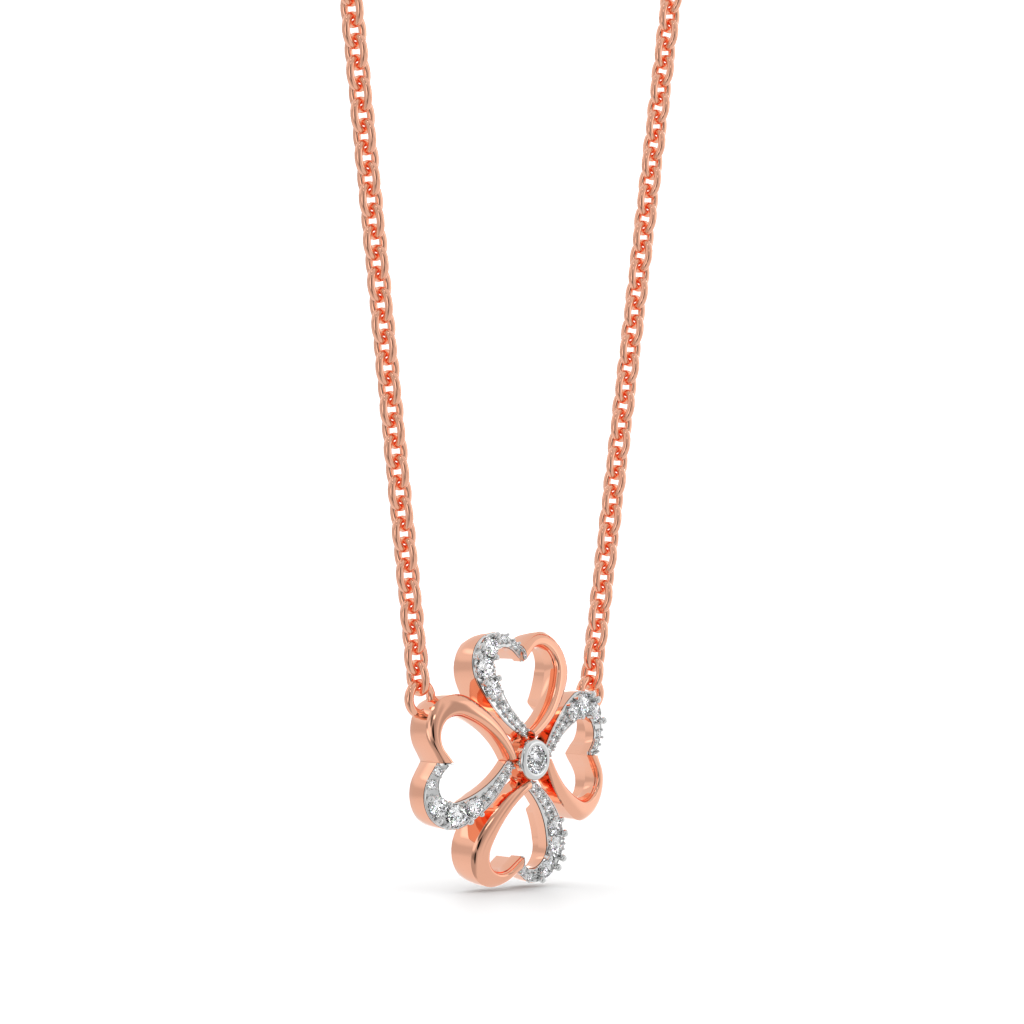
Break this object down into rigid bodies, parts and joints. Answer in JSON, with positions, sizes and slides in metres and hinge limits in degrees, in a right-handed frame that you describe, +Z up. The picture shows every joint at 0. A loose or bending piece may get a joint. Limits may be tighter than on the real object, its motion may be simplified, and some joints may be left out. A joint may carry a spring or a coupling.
{
  "type": "necklace with clover pendant",
  "caption": "Necklace of fine link chain with a clover of open hearts, half of each heart set with stones, round a stone in a rim.",
  "frame": {"origin": "the inside top of the loop, under the middle of the clasp, where the necklace hangs on a hook or sits on the neck", "axes": "+Z up, the pendant faces -Y, +X to the right of a viewer who faces it"},
  "size_m": [0.0686, 0.0041, 0.2102],
  "materials": {
    "rose_gold": "polished rose gold",
    "rose_gold_chain": "polished rose gold wire",
    "white_gold": "rhodium bright white gold",
    "diamond": "round brilliant cut"
  },
  "bodies": {
    "root": {"clover_frame": "rose_gold", "pave_top": "white_gold", "pave_left": "white_gold", "pave_bottom": "white_gold", "pave_right": "white_gold", "bezel": "white_gold", "center_stone": "diamond", "chain_left": "rose_gold_chain", "chain_right": "rose_gold_chain", "clasp": "rose_gold_chain"}
  },
  "joints": []
}
